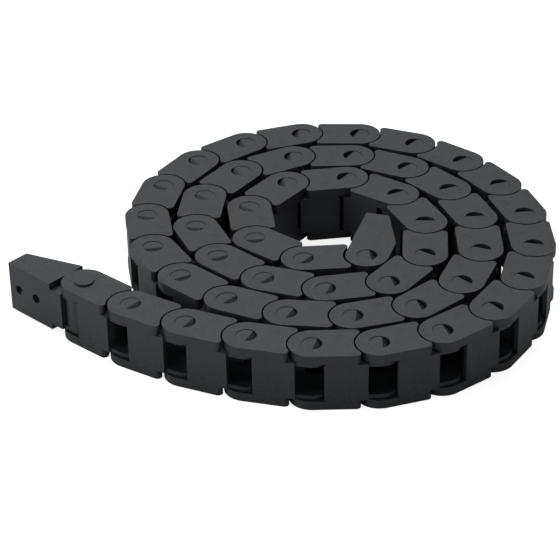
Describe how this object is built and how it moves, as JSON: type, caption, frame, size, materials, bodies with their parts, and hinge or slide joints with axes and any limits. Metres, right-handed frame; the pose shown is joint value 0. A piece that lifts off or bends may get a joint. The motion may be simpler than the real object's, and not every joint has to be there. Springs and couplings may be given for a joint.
{
  "type": "cable drag chain",
  "caption": "Plastic cable drag chain of hinged one-piece links with an open channel through them, coiled flat, with a tapered screw-down bracket at each end.",
  "frame": {"origin": "centre of the outer bracket's two screw holes, on the outer face of its foot", "axes": "+X along the outer bracket from its far end towards the chain, -Y out of its foot, +Z along the hinge axes, across the chain's width"},
  "size_m": [0.1459, 0.151, 0.0196],
  "materials": {
    "chain_plastic": "moulded glass-filled nylon, black, satin matt"
  },
  "bodies": {
    "coil": {"link_14": "chain_plastic", "link_15": "chain_plastic", "link_16": "chain_plastic", "link_17": "chain_plastic", "link_18": "chain_plastic", "link_19": "chain_plastic", "link_20": "chain_plastic", "link_21": "chain_plastic", "link_22": "chain_plastic", "link_23": "chain_plastic", "link_24": "chain_plastic", "link_25": "chain_plastic", "link_26": "chain_plastic", "link_27": "chain_plastic", "link_28": "chain_plastic", "link_29": "chain_plastic", "link_30": "chain_plastic", "link_31": "chain_plastic", "link_32": "chain_plastic", "link_33": "chain_plastic", "link_34": "chain_plastic", "link_35": "chain_plastic", "link_36": "chain_plastic", "link_37": "chain_plastic", "link_38": "chain_plastic", "link_39": "chain_plastic", "link_40": "chain_plastic", "link_41": "chain_plastic", "link_42": "chain_plastic", "link_43": "chain_plastic", "link_44": "chain_plastic", "link_45": "chain_plastic", "link_46": "chain_plastic", "link_47": "chain_plastic", "link_48": "chain_plastic"},
    "inner_bracket": {"inner_bracket": "chain_plastic"},
    "link_13": {"link_13": "chain_plastic"},
    "link_12": {"link_12": "chain_plastic"},
    "link_11": {"link_11": "chain_plastic"},
    "link_10": {"link_10": "chain_plastic"},
    "link_9": {"link_9": "chain_plastic"},
    "link_8": {"link_8": "chain_plastic"},
    "link_7": {"link_7": "chain_plastic"},
    "link_6": {"link_6": "chain_plastic"},
    "link_5": {"link_5": "chain_plastic"},
    "link_4": {"link_4": "chain_plastic"},
    "link_3": {"link_3": "chain_plastic"},
    "link_2": {"link_2": "chain_plastic"},
    "link_1": {"link_1": "chain_plastic"},
    "outer_bracket": {"outer_bracket": "chain_plastic"}
  },
  "joints": [
    {"name": "hinge_1", "type": "hinge", "parent": "link_1", "child": "outer_bracket", "pos_m": [0.0192, 0.0071, 0], "axis": [0, 0, 1], "range_deg": [-40, 2]},
    {"name": "hinge_2", "type": "hinge", "parent": "link_2", "child": "link_1", "pos_m": [0.03919, 0.0078, 0], "axis": [0, 0, 1], "range_deg": [-14, 8.8]},
    {"name": "hinge_3", "type": "hinge", "parent": "link_3", "child": "link_2", "pos_m": [0.05883, 0.01155, 0], "axis": [0, 0, 1], "range_deg": [0, 8.8]},
    {"name": "hinge_4", "type": "hinge", "parent": "link_4", "child": "link_3", "pos_m": [0.07767, 0.01825, 0], "axis": [0, 0, 1], "range_deg": [0, 8.8]},
    {"name": "hinge_5", "type": "hinge", "parent": "link_5", "child": "link_4", "pos_m": [0.09527, 0.02777, 0], "axis": [0, 0, 1], "range_deg": [0, 15.28]},
    {"name": "hinge_6", "type": "hinge", "parent": "link_6", "child": "link_5", "pos_m": [0.10973, 0.04158, 0], "axis": [0, 0, 1], "range_deg": [0, 17.05]},
    {"name": "hinge_7", "type": "hinge", "parent": "link_7", "child": "link_6", "pos_m": [0.11951, 0.05903, 0], "axis": [0, 0, 1], "range_deg": [0, 19.41]},
    {"name": "hinge_8", "type": "hinge", "parent": "link_8", "child": "link_7", "pos_m": [0.12293, 0.07873, 0], "axis": [0, 0, 1], "range_deg": [0, 20.16]},
    {"name": "hinge_9", "type": "hinge", "parent": "link_9", "child": "link_8", "pos_m": [0.11936, 0.09841, 0], "axis": [0, 0, 1], "range_deg": [0, 18.62]},
    {"name": "hinge_10", "type": "hinge", "parent": "link_10", "child": "link_9", "pos_m": [0.10969, 0.11592, 0], "axis": [0, 0, 1], "range_deg": [0, 16.8]},
    {"name": "hinge_11", "type": "hinge", "parent": "link_11", "child": "link_10", "pos_m": [0.09537, 0.12988, 0], "axis": [0, 0, 1], "range_deg": [0, 15.74]},
    {"name": "hinge_12", "type": "hinge", "parent": "link_12", "child": "link_11", "pos_m": [0.0778, 0.13943, 0], "axis": [0, 0, 1], "range_deg": [0, 15.59]},
    {"name": "hinge_13", "type": "hinge", "parent": "link_13", "child": "link_12", "pos_m": [0.05831, 0.14391, 0], "axis": [0, 0, 1], "range_deg": [0, 16.34]},
    {"name": "hinge_14", "type": "hinge", "parent": "coil", "child": "link_13", "pos_m": [0.03834, 0.14273, 0], "axis": [0, 0, 1], "range_deg": [0, 17.85]},
    {"name": "hinge_49", "type": "hinge", "parent": "coil", "child": "inner_bracket", "pos_m": [0.07446, 0.07665, 0], "axis": [0, 0, -1], "range_deg": [0, 4]}
  ]
}
